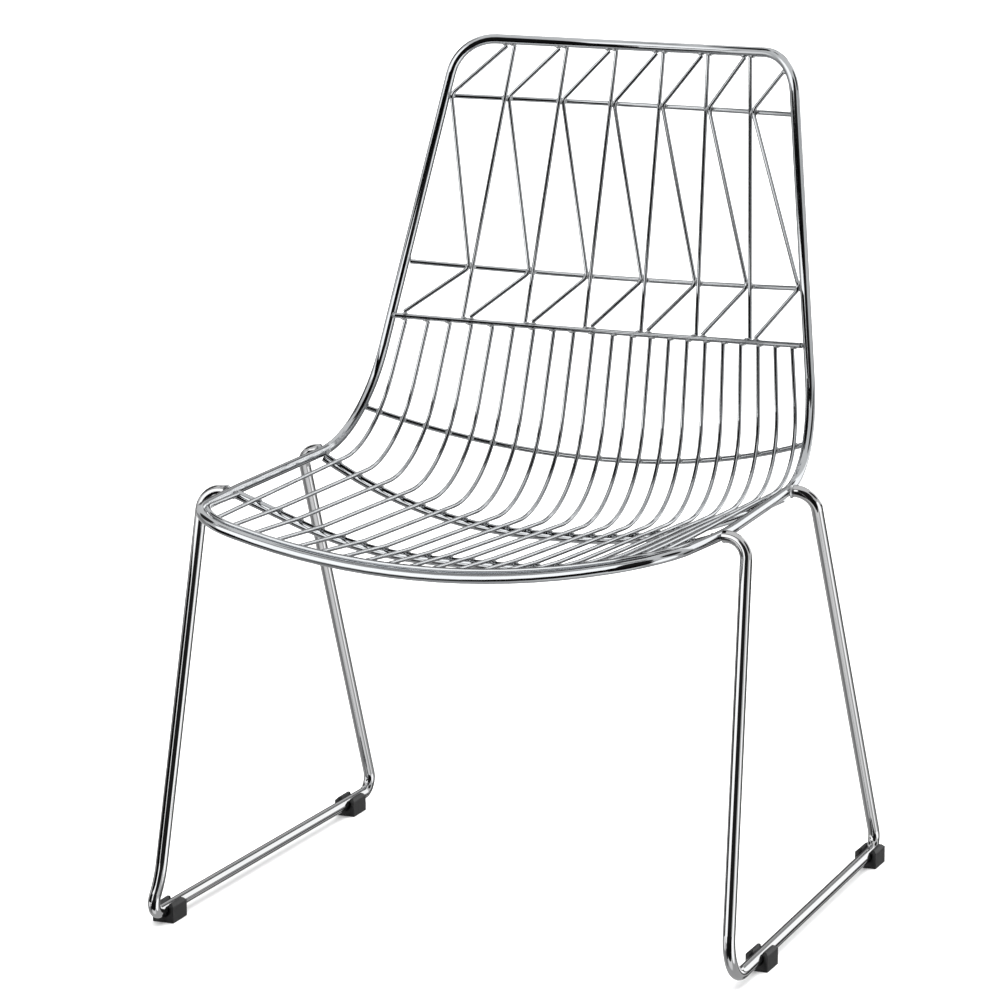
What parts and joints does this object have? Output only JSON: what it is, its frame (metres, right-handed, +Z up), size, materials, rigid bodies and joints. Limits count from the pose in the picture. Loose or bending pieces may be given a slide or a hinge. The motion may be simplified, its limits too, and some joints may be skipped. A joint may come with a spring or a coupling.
{
  "type": "wire mesh chair",
  "caption": "Side chair of bent and welded chromed steel rod: an open wire seat and back inside a continuous round rim, on two sled legs with clip-on plastic feet.",
  "frame": {"origin": "centre of the bounding box across and front to back, at floor level under the feet", "axes": "+X to the right as seen from the front, +Y from the front edge to the back, +Z up"},
  "size_m": [0.6009, 0.5816, 0.8107],
  "materials": {
    "chrome_frame_rod": "polished chrome plate on the rim and the seat bars",
    "chrome_leg_rod": "polished chrome plate on the sled legs",
    "chrome_net_wire": "polished chrome plate on the thin wires of the seat and back",
    "foot_plastic": "matt moulded black plastic"
  },
  "bodies": {
    "root": {"back_bend_cross_wire": "chrome_net_wire", "back_upright_1": "chrome_net_wire", "back_upright_2": "chrome_net_wire", "back_upright_3": "chrome_net_wire", "back_upright_4": "chrome_net_wire", "back_upright_5": "chrome_net_wire", "back_upright_6": "chrome_net_wire", "back_zigzag_wire_1": "chrome_net_wire", "back_zigzag_wire_2": "chrome_net_wire", "back_zigzag_wire_3": "chrome_net_wire", "back_zigzag_wire_4": "chrome_net_wire", "back_zigzag_wire_5": "chrome_net_wire", "back_zigzag_wire_6": "chrome_net_wire", "back_zigzag_wire_7": "chrome_net_wire", "front_edge_wire": "chrome_net_wire", "front_seat_bar": "chrome_frame_rod", "left_front_foot": "foot_plastic", "left_rear_foot": "foot_plastic", "left_sled_leg": "chrome_leg_rod", "lower_back_rail": "chrome_net_wire", "middle_back_rail": "chrome_net_wire", "rear_seat_bar": "chrome_frame_rod", "right_front_foot": "foot_plastic", "right_rear_foot": "foot_plastic", "right_sled_leg": "chrome_leg_rod", "rim_frame": "chrome_frame_rod", "seat_wire_01": "chrome_net_wire", "seat_wire_02": "chrome_net_wire", "seat_wire_03": "chrome_net_wire", "seat_wire_04": "chrome_net_wire", "seat_wire_05": "chrome_net_wire", "seat_wire_06": "chrome_net_wire", "seat_wire_07": "chrome_net_wire", "seat_wire_08": "chrome_net_wire", "seat_wire_09": "chrome_net_wire", "seat_wire_10": "chrome_net_wire", "seat_wire_11": "chrome_net_wire", "seat_wire_12": "chrome_net_wire", "seat_wire_13": "chrome_net_wire", "seat_wire_14": "chrome_net_wire", "seat_wire_15": "chrome_net_wire", "seat_wire_16": "chrome_net_wire", "seat_wire_17": "chrome_net_wire", "seat_wire_18": "chrome_net_wire", "seat_wire_19": "chrome_net_wire", "seat_wire_20": "chrome_net_wire", "seat_wire_21": "chrome_net_wire", "upper_back_rail": "chrome_net_wire"}
  },
  "joints": []
}
